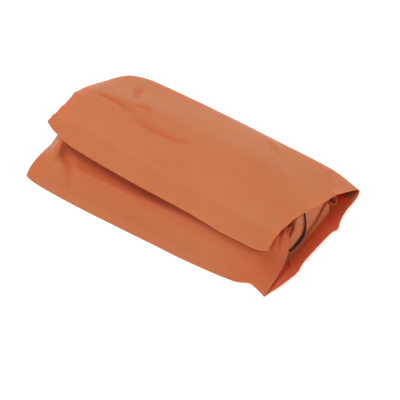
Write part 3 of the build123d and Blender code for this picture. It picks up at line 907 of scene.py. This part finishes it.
BASE_STRAP_PATH = [(86, 17.6), (60, 18.0), (20, 18.1), (-15, 17.2), (-36, 15.2)]
CREASE_PATH = [(51, 28.5), (43.6, 25.6), (27.3, 16.9), (6.2, 10.4), (-11.4, 7.9), (-41, 7.7)]
ZIGZAG_PATH = [(60, 33), (65, 24), (66.5, 10), (63, 8.5), (54, 20), (52.5, 19), (55, 9), (56, 3.5)]


def end_x(z):
    """Where the open end's faces stand: they lean in as they rise."""
    return END_X - END_LEAN * z


def pillow(name, end_ring, spine, inner_ring, left, recess, seed, wrinkle=0.5):
    """Soft folded leaves along X; the section changes from inner_ring to end_ring at the open end.

    The rounded ends shrink towards the middle lines. A piece with one ring keeps its section.
    """
    rings = [resample(smooth_curve(ring, closed=True), RING_POINTS + 1)[:-1]
             for ring in (inner_ring, end_ring)]
    low, high = np.min(inner_ring, axis=0), np.max(inner_ring, axis=0)
    reach = 0.45 * (high[1] - low[1])
    middle = (low[1] + high[1]) / 2
    inner_spine = [(low[0] + reach, middle), (high[0] - reach, middle)]
    targets = []
    for ring, line in zip(rings, (inner_spine, spine)):
        line = resample(line, SPINE_POINTS)
        gaps = np.linalg.norm(ring[:, None] - line[None], axis=2)
        targets.append(line[gaps.argmin(1)])
    caps = [(share, ROUNDING, ROUNDING) for share in (0.02, 0.25, 0.5, 0.75, 1.0)]
    caps += [(1.0, ROUNDING * (1 - math.sin(turn)), ROUNDING * math.cos(turn))
             for turn in np.radians([15, 35, 60, 90])]
    sections = []
    for share, inset, out in caps:
        sections.append((0, share, inset, out))
    for place in np.linspace(0, 1, MIDDLE_SECTIONS + 2)[1:-1]:
        sections.append((place, 1.0, 0.0, 0.0))
    for share, inset, out in caps[::-1]:
        sections.append((1, share, inset, out))
    vertices = []
    span = END_X - recess - left
    for place, share, inset, out in sections:
        morph = 0.0 if end_ring is inner_ring else float(smoothstep(*MORPH, left + span * place))
        ring = rings[0] * (1 - morph) + rings[1] * morph
        target = targets[0] * (1 - morph) + targets[1] * morph
        size = np.linalg.norm(ring - target, axis=1, keepdims=True)
        shrink = np.clip(1 - inset / np.maximum(size, 1e-6), 0.05, 1) * share
        section = target + (ring - target) * shrink
        dome = DOME * (1 - share)
        right = end_x(section[:, 1]) - recess
        start, stop = left + ROUNDING, right - ROUNDING
        x = start + (stop - start) * place
        if place == 0:
            x = start - out - dome
        elif place == 1:
            x = stop + out + dome
        vertices.append(np.column_stack([np.broadcast_to(x, len(ring)), section]))
    grid = np.array(vertices)
    bump = noise_field(grid, 24.0, seed) + 0.5 * noise_field(grid, 9.0, seed + 1)
    centre = grid[..., 1:].mean(axis=(0, 1))
    away = grid - np.array([0.0, *centre])
    away[..., 0] *= LENGTHWISE_NOISE
    away /= np.maximum(np.linalg.norm(away, axis=2, keepdims=True), 1e-9)
    grid = grid + away * (bump * wrinkle)[..., None]
    count = grid.shape[1]
    faces = []
    for i in range(len(sections) - 1):
        for j in range(count):
            n = (j + 1) % count
            faces.append((i * count + j, i * count + n, (i + 1) * count + n, (i + 1) * count + j))
    faces.append(tuple(range(count)))
    faces.append(tuple((len(sections) - 1) * count + j for j in range(count)))
    return mesh_object(name, grid.reshape(-1, 3), faces, cloth_uvs(grid).reshape(-1, 2), [SHADED_INNER])


def edge_strip(path, x_from, proud, wave=0.0, seed=40):
    """Grid of a leaf whose edge shows at the open end, proud of the faces."""
    line = resample(smooth_curve(path), 3 * len(path) + 12)
    steps = np.linspace(0, 1, 20)
    grid = np.zeros((len(steps), len(line), 3))
    for k, t in enumerate(steps):
        right = end_x(line[:, 1]) + proud
        grid[k] = np.column_stack([x_from + (right - x_from) * t, line])
    grid[..., 2] += noise_field(grid, 11.0, seed) * wave
    return grid


def make_stack():
    """Leaves of the lengthwise fold, whose rounded ends show at the open end."""
    lower = pillow("inner_leaf_lower", LOWER_END, LOWER_SPINE, LOWER_INNER, -150, 0.0, 14)
    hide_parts("base_inner_leaf_lower")
    middle = pillow("inner_leaf_middle", MIDDLE_INNER, MIDDLE_SPINE, MIDDLE_INNER, -149, 52.0, 11,
                    wrinkle=0.3)
    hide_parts("base_inner_leaf_middle")
    upper = pillow("inner_leaf_upper", UPPER_END, UPPER_SPINE, UPPER_INNER, -138, 1.0, 17)
    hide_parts("base_inner_leaf_upper")
    front = pillow("inner_fold_front", FRONT_END, FRONT_SPINE, FRONT_INNER, -158, 0.4, 20)
    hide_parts("base_inner_fold_front")
    for piece in (lower, middle, upper, front):
        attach(piece, "base")


def make_base_straps():
    """Transverse straps between the lower and the middle leaf."""
    line = resample(smooth_curve(BASE_STRAP_PATH), 50)
    for number, x in enumerate(STRAP_X, start=1):
        across = np.linspace(x - STRAP_WIDTH / 2, x + STRAP_WIDTH / 2, 14)
        grid = np.array([np.column_stack([np.full(len(line), place), line]) for place in across])
        band = sheet_mesh(f"base_webbing_{number}", [grid], BAND, [WEBBING])
        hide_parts(f"base_strap_{number}")
        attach(band, "base")


def strap_thickness(count):
    """Thickness along the strap: it opens out at its lower bend and narrows again after it."""
    return np.interp(np.linspace(0, 1, count), [0, 0.35, 0.7, 1], [2.2, 3.6, 6.0, 3.6])


def beside_strap(gap):
    """Path of a leaf that lies against the strap, gap from its face; the sign picks the side."""
    path = resample(smooth_curve(STRAP_PATH), 9)
    along = np.gradient(path, axis=0)
    along /= np.linalg.norm(along, axis=1, keepdims=True)
    side = np.column_stack([along[:, 1], -along[:, 0]])
    shift = math.copysign(1, gap) * (strap_thickness(len(path)) / 2 + abs(gap))
    return path + side * shift[:, None]


def make_stack_edges():
    """Edges of the stack's cloth that stand proud of its folds at the open end."""
    strips = [(CREASE_PATH, 120, 1.2, 0.4, 41), (ZIGZAG_PATH, 132, 0.6, 1.0, 44),
              (beside_strap(BESIDE_GAP), 120, 0.3, 0.0, 42),
              (beside_strap(-BESIDE_GAP), 120, 0.7, 0.0, 43)]
    grids = [edge_strip(*strip) for strip in strips]
    edges = sheet_mesh("inner_leaf_edges", grids, STACK_EDGE, [SHADED_INNER])
    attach(edges, "base")


def make_end_strap():
    """Webbing strap whose edge shows at the open end."""
    grid = edge_strip(STRAP_PATH, 128, 0.6)
    strap = sheet_mesh("end_strap", [grid], strap_thickness(grid.shape[1]), [WEBBING])
    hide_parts("base_end_strap")
    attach(strap, "base")


# ---------------------------------------------------------------- stage

FLOOR_SIZE = 6.0
FLOOR_HEIGHT = -0.0002
WORLD_STRENGTH = 0.25
# Place, target, size and power of each light.
LIGHTS = [((-0.40, -0.12, 1.5), (0, 0, 0), 0.9, 11.4),
          ((1.3, 0.15, 0.55), (0.1, 0, 0.02), 0.8, 0.25),
          ((0.9, 1.0, 0.9), (0.05, 0, 0), 1.0, 4.2),
          ((0.1, -1.6, 0.55), (0, 0, 0), 1.0, 2.4)]


def add_area(place, target, size, power):
    """Soft square light pointed at a place."""
    data = bpy.data.lights.new("soft_light", "AREA")
    data.size = size
    data.energy = power
    light = bpy.data.objects.new("soft_light", data)
    light.location = place
    light.rotation_euler = (Vector(place) - Vector(target)).to_track_quat("Z", "Y").to_euler()
    bpy.context.scene.collection.objects.link(light)


def make_stage():
    """White floor and soft light."""
    mesh = bpy.data.meshes.new("floor")
    corners = [(x * FLOOR_SIZE, y * FLOOR_SIZE, FLOOR_HEIGHT)
               for x, y in ((-1, -1), (1, -1), (1, 1), (-1, 1))]
    mesh.from_pydata(corners, [], [(0, 1, 2, 3)])
    floor = bpy.data.objects.new("floor", mesh)
    material, _, shader = new_material("floor")
    shader.inputs["Base Color"].default_value = (0.92, 0.92, 0.92, 1)
    shader.inputs["Roughness"].default_value = 0.9
    shader.inputs["Emission Color"].default_value = (1, 1, 1, 1)
    shader.inputs["Emission Strength"].default_value = 0.56
    mesh.materials.append(material)
    bpy.context.scene.collection.objects.link(floor)

    world = bpy.data.worlds.new("studio")
    world.use_nodes = True
    world.node_tree.nodes["Background"].inputs["Color"].default_value = (1, 1, 1, 1)
    world.node_tree.nodes["Background"].inputs["Strength"].default_value = WORLD_STRENGTH
    bpy.context.scene.world = world
    for place, target, size, power in LIGHTS:
        add_area(place, target, size, power)
    bpy.context.scene.view_settings.view_transform = "Standard"


# ---------------------------------------------------------------- build

make_cover()
make_cover_inside()
make_bottom()
make_flap()
make_flap_inside()
make_stack()
make_stack_edges()
make_base_straps()
make_end_strap()
make_stage()
